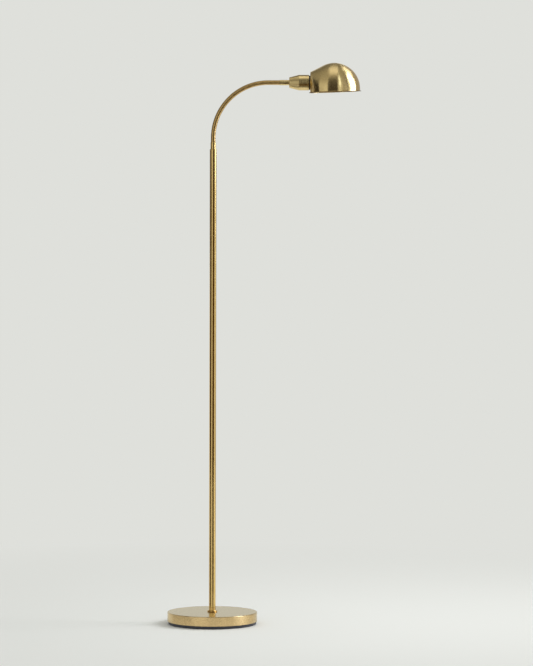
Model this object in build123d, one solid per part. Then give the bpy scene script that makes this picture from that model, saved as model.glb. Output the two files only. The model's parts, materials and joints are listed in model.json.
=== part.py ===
from build123d import *
import math
import os

# Gooseneck reading floor lamp, in millimetres. The origin lies on the floor, on the
# axis of the pole; +Z is up, and the neck carries the shade towards +X.

# ---- base ----
base_radius = 120.0
skirt_height = 25.0
cover_sheet = 1.2
cover_edge = 1.4
felt_thickness = 1.0
felt_inset = 2.0
weight_gap = 1.6
weight_reveal = 7.0
weight_rim_width = 19.0
weight_boss_wall = 12.0
recess_depth = 16.0
nut_pocket_clearance = 3.5
nut_pocket_depth = 19.0
washer_radius = 12.5
washer_thickness = 1.5
nut_across_flats = 17.0
nut_height = 6.0
gland_bore_radius = 3.2
gland_wall = 1.2
gland_barrel_length = 4.0
gland_channel_gap = 0.6
gland_flange_width = 1.4
gland_flange_thickness = 1.6
gland_height = 16.0

# ---- pole ----
collar_width = 4.5
collar_height = 4.0
collar_bevel = 1.2
pole_radius = 9.0
pole_wall = 1.2
foot_tube_length = 341.0
middle_tube_length = 330.0
top_tube_length = 229.0
spigot_length = 14.0
coupling_length = 28.0
top_bush_height = 2.0
top_bush_edge = 0.6

# ---- hollow threaded rods (one thread for the whole lamp) ----
rod_radius = 5.0
rod_wall = 1.5
thread_clearance = 0.05
rod_bite = 12.0

# ---- flexible neck ----
neck_radius = 6.25
neck_wall = 2.75
neck_lower_straight = 30.0
neck_bend_radius = 147.0
neck_bend_angle = 90.0
neck_upper_straight = 54.5
hinge_count = 12
seat_ball_margin = 1.75
seat_clearance = 0.15
ferrule_wall = 0.8
lower_ferrule_length = 18.0
upper_ferrule_length = 25.4
ferrule_stud = 8.0
tip_grip = 10.0

# ---- socket cup ----
cup_radius = 20.75
cup_rear_radius = 14.0
cup_length = 52.5
cup_cone_length = 26.0
cup_sheet = 1.2

# ---- lampholder ----
holder_gap = 0.65
holder_cap_gap = 1.8
holder_cap_setback = 1.5
holder_shoulder_width = 1.4
holder_skirt_length = 8.5
holder_shoulder_gap = 3.3
shell_clearance = 0.25
shell_sheet = 0.45
insert_thickness = 4.0
contact_width = 5.0
contact_reach = 8.0
contact_sheet = 0.6
contact_rise = 2.0
ring_width = 5.0
ring_thickness = 5.0

# ---- shade ----
shade_radius = 68.7
shade_sheet = 1.0
shade_skirt = 9.3
shade_rear_half_width = 25.0
ridge_rear_height = 44.0
rim_slope = 2.3
lip_width = 3.3
lip_thickness = 1.2
ridge_stations = 6
dome_overlap = 8.0
shade_axis_drop = 15.9
shade_rear_edge_radius = 2.0
shade_hole_clearance = 0.3

# ---- bulb ----
bulb_radius = 22.5
bulb_length = 75.0
bulb_cap_radius = 13.1
bulb_cap_length = 24.0
bulb_neck_inset = 0.5
bulb_insulator_height = 2.2
bulb_tip_radius = 4.5
bulb_tip_height = 0.8

fit_gap = 0.05
cut_margin = 3.0

# ---- radii and lengths that follow ----
rod_bore_radius = rod_radius - rod_wall
weight_radius = base_radius - cover_sheet - weight_gap
recess_outer_radius = weight_radius - weight_rim_width
nut_pocket_radius = washer_radius + nut_pocket_clearance
recess_inner_radius = nut_pocket_radius + weight_boss_wall
gland_barrel_radius = gland_bore_radius + gland_wall
gland_flange_radius = gland_barrel_radius + gland_flange_width
cord_channel_width = 2 * (gland_barrel_radius + gland_channel_gap)
collar_radius = pole_radius + collar_width
neck_bore_radius = neck_radius - neck_wall
seat_ball_radius = neck_radius + seat_ball_margin
ferrule_radius = neck_radius + fit_gap + ferrule_wall
holder_radius = cup_radius - cup_sheet - holder_gap
holder_cap_radius = cup_rear_radius - cup_sheet - holder_cap_gap
holder_cap_length = cup_cone_length - cup_sheet - holder_cap_setback
holder_skirt_radius = holder_radius - holder_shoulder_width
shell_radius = bulb_cap_radius + shell_clearance + shell_sheet
ring_radius = holder_skirt_radius + ring_width
bulb_neck_radius = bulb_cap_radius - bulb_neck_inset
shade_rear_flat = math.sqrt(shade_radius ** 2 - shade_rear_half_width ** 2)

# ---- levels that follow ----
weight_bottom_z = felt_thickness
cover_bottom_z = weight_bottom_z + weight_reveal
cover_top_z = cover_bottom_z + skirt_height
weight_top_z = cover_top_z - cover_sheet
pole_foot_z = cover_top_z + collar_height
tube_lengths = [foot_tube_length, middle_tube_length, middle_tube_length, top_tube_length]
pole_end_z = pole_foot_z + sum(tube_lengths)
neck_start_z = pole_end_z + top_bush_height
axis_z = neck_start_z + neck_lower_straight + neck_bend_radius
neck_end_x = neck_bend_radius + neck_upper_straight
cup_front_x = neck_end_x + cup_length
shade_rear_x = cup_front_x + holder_shoulder_gap
shade_centre_x = shade_rear_x + shade_rear_flat
shade_centre_z = axis_z - shade_axis_drop


def revolved(points, plane=Plane.XZ, axis=Axis.Z):
    """Solid of revolution of a closed outline, given as (radius, height) points."""
    with BuildPart() as solid:
        with BuildSketch(plane):
            with BuildLine():
                Polyline(*points, close=True)
            make_face()
        revolve(axis=axis)
    return solid.part


def tube(outer, inner, length, bottom=0.0):
    """Hollow cylinder that stands on the height bottom."""
    shape = Cylinder(outer, length) - Cylinder(inner, length)
    return Pos(0, 0, bottom + length / 2) * shape


def along_x(shape, x=0.0):
    """Turns a solid that stands along +Z to lie along +X on the head's axis, from x on."""
    return Pos(x, 0, axis_z) * Rot(0, 90, 0) * shape


# ---------------------------------------------------------------- base

def make_base_felt():
    return Pos(0, 0, felt_thickness / 2) * Cylinder(weight_radius - felt_inset, felt_thickness)


def make_base_weight():
    """Cast disc, hollowed from below, with a nut pocket and a channel for the cord."""
    hole_radius = rod_radius + fit_gap
    weight = revolved([
        (hole_radius, weight_bottom_z + nut_pocket_depth),
        (nut_pocket_radius, weight_bottom_z + nut_pocket_depth),
        (nut_pocket_radius, weight_bottom_z),
        (recess_inner_radius, weight_bottom_z),
        (recess_inner_radius, weight_bottom_z + recess_depth),
        (recess_outer_radius, weight_bottom_z + recess_depth),
        (recess_outer_radius, weight_bottom_z),
        (weight_radius, weight_bottom_z),
        (weight_radius, weight_top_z),
        (hole_radius, weight_top_z),
    ])
    channel_top = gland_height + cord_channel_width / 2
    channel = Pos(0, weight_radius / 2, channel_top / 2) * Box(
        cord_channel_width, weight_radius + cord_channel_width, channel_top)
    return weight - channel


def make_base_cover():
    """Spun cover over the weight, with a bevelled top edge and a hole for the cord gland."""
    inner = base_radius - cover_sheet
    hole_radius = rod_radius + fit_gap
    cover = revolved([
        (hole_radius, weight_top_z),
        (hole_radius, cover_top_z),
        (base_radius - cover_edge, cover_top_z),
        (base_radius, cover_top_z - cover_edge),
        (base_radius, cover_bottom_z),
        (inner, cover_bottom_z),
        (inner, weight_top_z),
    ])
    inlet = Pos(0, base_radius, gland_height) * Rot(90, 0, 0) * Cylinder(
        gland_barrel_radius + fit_gap, 2 * (cover_sheet + cut_margin))
    return cover - inlet


def make_cord_gland():
    """Flanged bush in the rear of the cover, where the cord enters."""
    bush = revolved([
        (gland_bore_radius, -gland_barrel_length),
        (gland_barrel_radius, -gland_barrel_length),
        (gland_barrel_radius, fit_gap),
        (gland_flange_radius, fit_gap),
        (gland_flange_radius, gland_flange_thickness),
        (gland_bore_radius, gland_flange_thickness),
    ])
    return Pos(0, base_radius, gland_height) * Rot(-90, 0, 0) * bush


def washer_bottom_z():
    return weight_bottom_z + nut_pocket_depth - washer_thickness


def make_base_washer():
    return tube(washer_radius, rod_radius + fit_gap, washer_thickness, washer_bottom_z())


def make_base_locknut():
    bottom = washer_bottom_z() - nut_height
    hexagon = extrude(RegularPolygon(nut_across_flats / 2, 6, major_radius=False), nut_height)
    hole = Pos(0, 0, nut_height / 2) * Cylinder(rod_radius + thread_clearance, nut_height)
    return Pos(0, 0, bottom) * (hexagon - hole)


def make_base_nipple():
    bottom = washer_bottom_z() - nut_height
    top = pole_foot_z + rod_bite
    return tube(rod_radius, rod_bore_radius, top - bottom, bottom)


# ---------------------------------------------------------------- pole

def make_pole_collar():
    """Turned foot of the pole: a bevelled ring, and a spigot that fills the lowest tube's end."""
    spigot = pole_radius - pole_wall - fit_gap
    thread = rod_radius + thread_clearance
    return revolved([
        (thread, cover_top_z),
        (collar_radius - collar_bevel, cover_top_z),
        (collar_radius, cover_top_z + collar_bevel),
        (collar_radius, pole_foot_z - collar_bevel),
        (collar_radius - collar_bevel, pole_foot_z),
        (spigot, pole_foot_z),
        (spigot, pole_foot_z + spigot_length),
        (thread, pole_foot_z + spigot_length),
    ])


def tube_levels():
    """Lower and upper end of each tube of the pole."""
    levels = []
    z = pole_foot_z
    for length in tube_lengths:
        levels.append((z, z + length))
        z += length
    return levels


def make_pole_tube(low, high):
    return tube(pole_radius, pole_radius - pole_wall, high - low, low)


def make_pole_couplings():
    """Hollow threaded sleeves, half in each of two tubes that meet."""
    outer = pole_radius - pole_wall - thread_clearance
    sleeves = []
    for low, high in tube_levels()[:-1]:
        sleeves.append(tube(outer, rod_radius, coupling_length, high - coupling_length / 2))
    return Compound(children=sleeves)


def make_pole_top_bush():
    """Cap on the top tube, with a spigot down into the tube and a stud up into the neck."""
    spigot = pole_radius - pole_wall - fit_gap
    return revolved([
        (rod_bore_radius, pole_end_z - spigot_length),
        (spigot, pole_end_z - spigot_length),
        (spigot, pole_end_z),
        (pole_radius, pole_end_z),
        (pole_radius, neck_start_z - top_bush_edge),
        (pole_radius - top_bush_edge, neck_start_z),
        (neck_radius, neck_start_z),
        (neck_radius, neck_start_z + ferrule_stud),
        (rod_bore_radius, neck_start_z + ferrule_stud),
    ])


# ---------------------------------------------------------------- neck

bend_length = math.radians(neck_bend_angle) * neck_bend_radius
neck_length = neck_lower_straight + bend_length + neck_upper_straight
flexible_length = neck_length - lower_ferrule_length - upper_ferrule_length
hinge_pitch = flexible_length / hinge_count


def neck_point(distance):
    """Point (x, z) of the neck's centre line, at a distance from its start."""
    if distance <= neck_lower_straight:
        return (0.0, neck_start_z + distance)
    along = distance - neck_lower_straight
    if along <= bend_length:
        turn = along / neck_bend_radius
        return (neck_bend_radius * (1 - math.cos(turn)),
                neck_start_z + neck_lower_straight + neck_bend_radius * math.sin(turn))
    return (neck_bend_radius + along - bend_length, axis_z)


def hinge_centres():
    """Centres on which the neck's pieces tilt, evenly spaced between the ferrules."""
    return [neck_point(lower_ferrule_length + (k + 0.5) * hinge_pitch) for k in range(hinge_count)]


def nose_height(radius):
    """Height of the ball round a hinge centre at this radius, on the side of the piece below."""
    return -math.sqrt(seat_ball_radius ** 2 - radius ** 2)


def seat_height(radius):
    """Height of the cone that just clears that ball, at this radius."""
    middle = (math.asin(neck_radius / seat_ball_radius)
              + math.asin(neck_bore_radius / seat_ball_radius)) / 2
    return -(seat_ball_radius + seat_clearance - radius * math.sin(middle)) / math.cos(middle)


def neck_piece(length, nose=True, seat=True):
    """One piece of the neck, standing along +Z. Its nose tilts in the seat of the piece below.

    The height 0 is the hinge centre of its own nose, or its flat end without a nose, and
    length is the height of the next hinge centre, or of its flat end without a seat.
    """
    low_outer = nose_height(neck_radius) if nose else 0.0
    low_inner = nose_height(neck_bore_radius) if nose else 0.0
    high_outer = length + seat_height(neck_radius) if seat else length
    high_inner = length + seat_height(neck_bore_radius) if seat else length
    return revolved([
        (neck_bore_radius, low_inner),
        (neck_radius, low_outer),
        (neck_radius, high_outer),
        (neck_bore_radius, high_inner),
    ])


def placed_between(shape, start, end):
    """Moves a solid that stands at the origin along +Z to start, leaning towards end."""
    lean = math.degrees(math.atan2(end[0] - start[0], end[1] - start[1]))
    return Pos(start[0], 0, start[1]) * Rot(0, lean, 0) * shape


def make_neck_link(start, end):
    return placed_between(neck_piece(math.dist(start, end)), start, end)


def make_neck_root():
    """Fixed lowest piece of the neck, held in the lower ferrule."""
    start = (0.0, neck_start_z + ferrule_stud)
    first = hinge_centres()[0]
    return placed_between(neck_piece(math.dist(start, first), nose=False), start, first)


def tip_end_x():
    return neck_end_x - upper_ferrule_length + tip_grip


def make_neck_tip():
    """Last piece of the neck, held in the upper ferrule."""
    last = hinge_centres()[-1]
    end = (tip_end_x(), axis_z)
    return placed_between(neck_piece(math.dist(last, end), seat=False), last, end)


def make_neck_lower_ferrule():
    """Sleeve pressed over the stud of the top bush and the root of the neck."""
    return tube(ferrule_radius, neck_radius + fit_gap, lower_ferrule_length, neck_start_z)


def make_neck_upper_ferrule():
    """Sleeve pressed over the tip of the neck and the head's stud."""
    sleeve = tube(ferrule_radius, neck_radius + fit_gap, upper_ferrule_length)
    return along_x(sleeve, neck_end_x - upper_ferrule_length)


# ---------------------------------------------------------------- head

def make_head_stud():
    """Hollow stud: thick in the ferrule, threaded through the cup into the lampholder."""
    step = neck_end_x - tip_end_x()
    end = step + cup_sheet + rod_bite
    return along_x(revolved([
        (rod_bore_radius, 0.0),
        (neck_radius, 0.0),
        (neck_radius, step),
        (rod_radius, step),
        (rod_radius, end),
        (rod_bore_radius, end),
    ]), tip_end_x())


def make_socket_cup():
    """Spun cup over the lampholder: a flat rear, a cone and a plain front."""
    inner = cup_radius - cup_sheet
    rear_inner = cup_rear_radius - cup_sheet
    cup = revolved([
        (rod_radius + fit_gap, 0.0),
        (cup_rear_radius, 0.0),
        (cup_radius, cup_cone_length),
        (cup_radius, cup_length),
        (inner, cup_length),
        (inner, cup_cone_length),
        (rear_inner, cup_sheet),
        (rod_radius + fit_gap, cup_sheet),
    ])
    return along_x(cup, neck_end_x)


def holder_body_start():
    return cup_sheet + holder_cap_length


def holder_shoulder():
    return cup_length + holder_shoulder_gap


def make_lampholder_cap():
    """Rear half of the lampholder, screwed on the head's stud."""
    start = cup_sheet
    end = holder_body_start()
    thread = rod_radius + thread_clearance
    cap = revolved([
        (thread, start),
        (holder_cap_radius, start),
        (holder_radius, end),
        (thread, end),
    ])
    return along_x(cap, neck_end_x)


def make_lampholder_body():
    """Front half of the lampholder. Its skirt passes through the rear of the shade."""
    start = holder_body_start()
    shoulder = holder_shoulder()
    front = shoulder + holder_skirt_length
    bore = shell_radius + fit_gap
    body = revolved([
        (bore, start),
        (holder_radius, start),
        (holder_radius, shoulder),
        (holder_skirt_radius, shoulder),
        (holder_skirt_radius, front),
        (bore, front),
    ])
    return along_x(body, neck_end_x)


def make_lampholder_insert():
    """Disc that carries the screw shell and the centre contact."""
    disc = Pos(0, 0, insert_thickness / 2) * Cylinder(shell_radius, insert_thickness)
    return along_x(disc, neck_end_x + holder_body_start())


def contact_base():
    return holder_body_start() + insert_thickness


def make_lampholder_shell():
    """Metal sleeve that the bulb screws into."""
    start = contact_base()
    end = holder_shoulder() + holder_skirt_length - bulb_tip_height
    return along_x(tube(shell_radius, shell_radius - shell_sheet, end - start), neck_end_x + start)


def make_centre_contact():
    """Bent spring leaf that presses on the bulb's tip."""
    with BuildPart() as leaf:
        with BuildSketch(Plane.XZ):
            with BuildLine():
                Polyline(
                    (-contact_reach, 0),
                    (-contact_reach / 2, 0),
                    (0, contact_rise - contact_sheet),
                    (contact_sheet, contact_rise - contact_sheet),
                    (contact_sheet, contact_rise),
                    (-contact_sheet, contact_rise),
                    (-contact_reach / 2 - contact_sheet, contact_sheet),
                    (-contact_reach, contact_sheet),
                    close=True)
            make_face()
        extrude(amount=contact_width / 2, both=True)
    return along_x(leaf.part, neck_end_x + contact_base())


def make_shade_ring():
    """Threaded ring on the lampholder's skirt that clamps the shade."""
    inner = holder_skirt_radius + thread_clearance
    start = neck_end_x + holder_shoulder() + shade_sheet
    return along_x(tube(ring_radius, inner, ring_thickness), start)


def ridge_angle():
    """Angle, seen from the side, of the radius at which the straight ridge leaves the dome."""
    reach = math.hypot(shade_rear_flat, ridge_rear_height)
    toward_rear = math.atan2(ridge_rear_height, -shade_rear_flat)
    return toward_rear - math.acos(shade_radius / reach)


def ridge_z(x, radius):
    """Height of the ridge over x, for a dome of this radius."""
    angle = ridge_angle()
    return shade_centre_z + (radius - (x - shade_centre_x) * math.cos(angle)) / math.sin(angle)


def rim_z(x):
    """Height of the rim plane over x."""
    rim_middle = shade_centre_z - shade_skirt
    return rim_middle + (x - shade_centre_x) * math.tan(math.radians(rim_slope))


def arch(x, radius, bottom):
    """Round-topped section of the shade across X: a semicircle on two upright sides."""
    half_width = math.sqrt(radius ** 2 - (x - shade_centre_x) ** 2)
    on_dome = x >= shade_centre_x + radius * math.cos(ridge_angle())
    spring = shade_centre_z if on_dome else ridge_z(x, radius) - half_width
    with BuildSketch(Plane(origin=(x, 0, 0), x_dir=(0, 1, 0), z_dir=(1, 0, 0))) as section:
        with BuildLine():
            Line((-half_width, spring), (-half_width, bottom))
            Line((-half_width, bottom), (half_width, bottom))
            Line((half_width, bottom), (half_width, spring))
            ThreePointArc((half_width, spring), (0, spring + half_width), (-half_width, spring))
        make_face()
    return section.sketch


def shade_form(inset):
    """Closed form of the shade, with its surface moved inwards by inset, down past the rim."""
    radius = shade_radius - inset
    rear = shade_rear_x + inset
    bottom = rim_z(shade_rear_x - lip_width) - lip_width
    join = shade_centre_x + radius * math.cos(ridge_angle())
    stations = [rear + (join - rear) * k / ridge_stations for k in range(ridge_stations + 1)]
    stations.append(join + dome_overlap)
    tail = loft([arch(x, radius, bottom) for x in stations])
    skirt = shade_centre_z - bottom
    upright = (Align.CENTER, Align.CENTER, Align.MIN)
    dome = Pos(shade_centre_x, 0, shade_centre_z) * Sphere(radius, arc_size1=0, align=upright)
    wall = Pos(shade_centre_x, 0, bottom + skirt / 2) * Cylinder(radius, skirt)
    front = Pos(stations[-1] + radius, 0, shade_centre_z) * Box(2 * radius, 3 * radius, 3 * radius)
    return tail + ((dome + wall) & front)


def make_shade():
    """Half-dome hood with a straight ridge to a flat rear, and a lip turned out at its rim."""
    outer = shade_form(0.0)
    room = shade_form(shade_sheet)
    rear_edges = outer.faces().sort_by(Axis.X)[0].edges().sort_by(Axis.Z)
    outer = fillet(rear_edges[1:], shade_rear_edge_radius)
    rim_plane = Plane(
        origin=(shade_centre_x, 0, rim_z(shade_centre_x)),
        x_dir=(math.cos(math.radians(rim_slope)), 0, math.sin(math.radians(rim_slope))),
        z_dir=(-math.sin(math.radians(rim_slope)), 0, math.cos(math.radians(rim_slope))))
    above = rim_plane * Pos(0, 0, shade_radius) * Box(
        4 * shade_radius, 4 * shade_radius, 2 * shade_radius)
    disc = Circle(shade_radius + lip_width)
    reach = 2 * shade_radius
    kept = Pos(reach / 2 - shade_rear_flat - lip_width, 0) * Rectangle(reach, 2 * reach)
    front_half = Pos(reach / 2, 0) * Rectangle(reach, 2 * reach)
    outline = (disc & kept) + (disc & front_half)
    lip = rim_plane * extrude(outline, lip_thickness)
    hole_depth = 2 * (shade_sheet + cut_margin)
    hole = along_x(Cylinder(holder_skirt_radius + shade_hole_clearance, hole_depth), shade_rear_x)
    return (outer & above) + lip - room - hole


# ---------------------------------------------------------------- bulb

def bulb_start():
    return contact_base() + contact_rise


def bulb_cap_end():
    return bulb_start() + bulb_tip_height + bulb_insulator_height + bulb_cap_length


def make_bulb_cap():
    """Screw cap of the bulb, with its insulator cone and tip contact."""
    tip = bulb_start()
    cone = tip + bulb_tip_height
    cap = revolved([
        (0, tip),
        (bulb_tip_radius, tip),
        (bulb_tip_radius, cone),
        (bulb_cap_radius, cone + bulb_insulator_height),
        (bulb_cap_radius, bulb_cap_end()),
        (0, bulb_cap_end()),
    ])
    return along_x(cap, neck_end_x)


def make_bulb_globe():
    """Round globe on a short neck."""
    centre = bulb_start() + bulb_length - bulb_radius
    neck_length = centre - bulb_cap_end()
    neck = Pos(0, 0, centre - neck_length / 2) * Cylinder(bulb_neck_radius, neck_length)
    globe = Pos(0, 0, centre) * Sphere(bulb_radius)
    return along_x(neck + globe, neck_end_x)


# ---------------------------------------------------------------- all pieces

def all_parts():
    parts = {
        "base_felt": make_base_felt(),
        "base_weight": make_base_weight(),
        "base_cover": make_base_cover(),
        "cord_gland": make_cord_gland(),
        "base_nipple": make_base_nipple(),
        "base_washer": make_base_washer(),
        "base_locknut": make_base_locknut(),
        "pole_collar": make_pole_collar(),
        "pole_couplings": make_pole_couplings(),
        "pole_top_bush": make_pole_top_bush(),
        "neck_lower_ferrule": make_neck_lower_ferrule(),
        "neck_root": make_neck_root(),
        "neck_tip": make_neck_tip(),
        "neck_upper_ferrule": make_neck_upper_ferrule(),
        "head_stud": make_head_stud(),
        "socket_cup": make_socket_cup(),
        "lampholder_cap": make_lampholder_cap(),
        "lampholder_body": make_lampholder_body(),
        "lampholder_insert": make_lampholder_insert(),
        "lampholder_shell": make_lampholder_shell(),
        "centre_contact": make_centre_contact(),
        "shade_ring": make_shade_ring(),
        "shade": make_shade(),
        "bulb_cap": make_bulb_cap(),
        "bulb_globe": make_bulb_globe(),
    }
    for number, (low, high) in enumerate(tube_levels(), start=1):
        parts[f"pole_tube_{number}"] = make_pole_tube(low, high)
    centres = hinge_centres()
    for number in range(1, hinge_count):
        parts[f"neck_link_{number:02d}"] = make_neck_link(centres[number - 1], centres[number])
    return parts


os.makedirs("parts", exist_ok=True)
for name, shape in all_parts().items():
    export_step(shape, f"parts/{name}.step")
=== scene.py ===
import bmesh
import bpy
import json
import math
from mathutils import Matrix, Vector

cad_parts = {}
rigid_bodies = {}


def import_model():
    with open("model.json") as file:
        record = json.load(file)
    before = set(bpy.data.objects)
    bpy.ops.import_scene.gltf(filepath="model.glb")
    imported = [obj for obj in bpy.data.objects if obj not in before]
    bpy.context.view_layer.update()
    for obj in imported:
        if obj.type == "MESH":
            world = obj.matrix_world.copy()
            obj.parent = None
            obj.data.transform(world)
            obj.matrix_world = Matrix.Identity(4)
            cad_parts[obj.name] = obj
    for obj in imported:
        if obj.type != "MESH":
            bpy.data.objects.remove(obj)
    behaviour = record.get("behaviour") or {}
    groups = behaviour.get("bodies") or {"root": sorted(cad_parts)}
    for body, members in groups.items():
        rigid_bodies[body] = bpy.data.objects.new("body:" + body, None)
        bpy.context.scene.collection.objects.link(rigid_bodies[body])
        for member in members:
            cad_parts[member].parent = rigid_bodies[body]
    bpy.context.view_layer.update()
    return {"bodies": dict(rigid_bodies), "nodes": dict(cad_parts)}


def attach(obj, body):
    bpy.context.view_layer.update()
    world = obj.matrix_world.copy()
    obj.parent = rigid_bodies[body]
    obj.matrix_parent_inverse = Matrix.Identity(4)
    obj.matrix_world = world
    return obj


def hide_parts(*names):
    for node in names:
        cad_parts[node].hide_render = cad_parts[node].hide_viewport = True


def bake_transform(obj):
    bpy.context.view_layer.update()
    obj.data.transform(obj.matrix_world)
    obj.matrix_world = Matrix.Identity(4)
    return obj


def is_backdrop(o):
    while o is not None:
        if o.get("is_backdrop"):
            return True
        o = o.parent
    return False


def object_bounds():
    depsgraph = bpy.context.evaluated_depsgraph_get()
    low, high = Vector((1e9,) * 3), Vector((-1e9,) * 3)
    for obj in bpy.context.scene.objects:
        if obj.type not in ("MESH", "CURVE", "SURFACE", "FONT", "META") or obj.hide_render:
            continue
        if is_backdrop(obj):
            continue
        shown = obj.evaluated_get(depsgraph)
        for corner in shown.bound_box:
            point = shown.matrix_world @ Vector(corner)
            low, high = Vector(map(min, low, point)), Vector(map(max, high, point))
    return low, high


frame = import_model()
scene = bpy.context.scene

# ---------------------------------------------------------------- sizes

MM = 0.001

# Turned pieces, in millimetres. Base and pole: heights above the floor.
ROD_HOLE, ROD_BORE = 5.05, 3.5
BASE_RADIUS, COVER_SHEET, COVER_BOTTOM, COVER_TOP = 120, 1.2, 8, 33
WEIGHT_RADIUS, WEIGHT_TOP = 117.2, 31.8
NUT_POCKET_RADIUS, NUT_POCKET_TOP = 16, 20
RECESS_INNER, RECESS_OUTER, RECESS_TOP = 28, 98.2, 17
CHANNEL_HALF, CHANNEL_TOP = 5, 21
FELT_MIDDLE, FELT_RADIUS, FELT_TOP = 0.02, 115.2, 1
GLAND_BORE, GLAND_BARREL, GLAND_FLANGE = 3.2, 4.4, 5.8
GLAND_HEIGHT, GLAND_HOLE = 16, 4.45
GLAND_DEPTH, GLAND_SEAT, GLAND_FACE = 4, 0.05, 1.6
COLLAR_RADIUS, POLE_FOOT = 13.5, 37
POLE_RADIUS, POLE_BORE = 9, 7.8
SPIGOT_RADIUS, SPIGOT_LENGTH = 7.75, 14
TUBE_LENGTHS = (341, 330, 330, 229)
TUBES_TOP = POLE_FOOT + sum(TUBE_LENGTHS)
BUSH_TOP = TUBES_TOP + 2
STUD_TOP = BUSH_TOP + 8
NECK_RADIUS = 6.25
FERRULE_BORE, FERRULE_RADIUS = 6.3, 7.1
LOWER_FERRULE, UPPER_FERRULE = 18, 25.4

# Head, in millimetres: distances along its axis from the rear of the cup.
CUP_RADIUS, CUP_REAR_RADIUS, CUP_SHEET = 20.75, 14, 1.2
CUP_CONE, CUP_LENGTH = 26, 52.5
HOLDER_BORE, HOLDER_RADIUS, SKIRT_RADIUS = 13.85, 18.9, 17.5
HOLDER_START, SHOULDER, HOLDER_FRONT = 24.5, 55.8, 64.3
RING_BORE, RING_RADIUS, RING_FACE_RADIUS = 17.55, 22.5, 20
RING_START, RING_FACE, RING_FRONT = 56.8, 61.3, 61.8
BULB_MIDDLE, BULB_RADIUS, BULB_CENTRE = 0.01, 22.5, 83
BULB_NECK, BULB_NECK_START, BULB_NECK_END = 12.6, 57.5, 62.3
BULB_FLARE = ((12.72, 63.1), (13.1, 63.9), (13.7, 64.7))
BULB_OPENING, BULB_STEPS = 36, 32

# Line of the neck, and the shade, in metres.
NECK_START = BUSH_TOP * MM
NECK_LOWER, NECK_BEND, NECK_UPPER = 30 * MM, 147 * MM, 54.5 * MM
AXIS_Z = NECK_START + NECK_LOWER + NECK_BEND
NECK_END = NECK_BEND + NECK_UPPER
SHADE_RADIUS, SHADE_SHEET = 68.7 * MM, 1 * MM
SHADE_REAR_X = NECK_END + SHOULDER * MM
SHADE_REAR_HALF = 25 * MM
SHADE_X = SHADE_REAR_X + math.sqrt(SHADE_RADIUS ** 2 - SHADE_REAR_HALF ** 2)
SHADE_Z = AXIS_Z - 15.9 * MM
SHADE_HOLE = 17.8 * MM
SHADE_EDGE_OUTSIDE, SHADE_EDGE_INSIDE = 1.1 * MM, 0.5 * MM
RIDGE_REAR = 44 * MM
RIM_DROP, RIM_SLOPE = 9.3 * MM, math.radians(2.3)
LIP_WIDTH, LIP_THICKNESS = 3.23 * MM, 1.8 * MM
LIP_FILLET, RIM_EDGE = 1.2 * MM, 0.4 * MM


# ---------------------------------------------------------------- node materials

class Nodes:
    """A node tree, with short calls to add and join its nodes."""

    def __init__(self, tree):
        self.tree = tree
        self.coordinates = self.add("ShaderNodeTexCoord").outputs
        self.place = self.coordinates["Object"]

    def add(self, kind, **settings):
        node = self.tree.nodes.new(kind)
        for name, value in settings.items():
            setattr(node, name, value)
        return node

    def link(self, output, socket):
        self.tree.links.new(output, socket)

    def math(self, operation, a, b=0.0):
        node = self.add("ShaderNodeMath", operation=operation)
        for socket, value in zip(node.inputs, (a, b)):
            if isinstance(value, (int, float)):
                socket.default_value = value
            else:
                self.link(value, socket)
        return node.outputs[0]

    def stretched(self, x, y, z):
        node = self.add("ShaderNodeMapping")
        self.link(self.place, node.inputs["Vector"])
        node.inputs["Scale"].default_value = (x, y, z)
        return node.outputs[0]

    def noise(self, scale, detail=2.0, place=None, roughness=0.5):
        node = self.add("ShaderNodeTexNoise")
        self.link(place or self.place, node.inputs["Vector"])
        node.inputs["Scale"].default_value = scale
        node.inputs["Detail"].default_value = detail
        node.inputs["Roughness"].default_value = roughness
        return node.outputs["Fac"]

    def between(self, value, low, high, out_low, out_high):
        """Maps low to out_low and high to out_high, and holds the ends."""
        node = self.add("ShaderNodeMapRange")
        self.link(value, node.inputs["Value"])
        for socket, number in zip(node.inputs[1:5], (low, high, out_low, out_high)):
            socket.default_value = number
        return node.outputs[0]

    def blend(self, value, first, second):
        node = self.add("ShaderNodeMix", data_type="RGBA")
        self.link(value, node.inputs["Factor"])
        for socket, colour in ((node.inputs["A"], first), (node.inputs["B"], second)):
            if isinstance(colour, tuple):
                socket.default_value = (*colour, 1.0)
            else:
                self.link(colour, socket)
        return node.outputs["Result"]


class Shader(Nodes):
    """The nodes of a new material; constants are values of the shader's own sockets."""

    def __init__(self, name, metallic=0.0, **constants):
        self.material = bpy.data.materials.new(name)
        self.material.use_nodes = True
        super().__init__(self.material.node_tree)
        self.surface = self.tree.nodes["Principled BSDF"]
        self.surface.inputs["Metallic"].default_value = metallic
        for socket, value in constants.items():
            self.surface.inputs[socket.replace("_", " ")].default_value = value

    def colour(self, output):
        self.link(output, self.surface.inputs["Base Color"])

    def rough(self, output):
        self.link(output, self.surface.inputs["Roughness"])

    def bump(self, *layers):
        """Adds bumps; each layer is (height, distance in metres, strength)."""
        normal = None
        for height, distance, strength in layers:
            node = self.add("ShaderNodeBump")
            node.inputs["Distance"].default_value = distance
            node.inputs["Strength"].default_value = strength
            self.link(height, node.inputs["Height"])
            if normal is not None:
                self.link(normal, node.inputs["Normal"])
            normal = node.outputs["Normal"]
        self.link(normal, self.surface.inputs["Normal"])

    def brushed_round(self, axis):
        """Lays the brushing round an axis, for the shader's anisotropy."""
        tangent = self.add("ShaderNodeTangent", direction_type="RADIAL", axis=axis)
        self.link(tangent.outputs[0], self.surface.inputs["Tangent"])

    def end_in(self, output):
        """Gives the material another surface than its Principled shader."""
        self.link(output, self.tree.nodes["Material Output"].inputs["Surface"])


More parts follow.
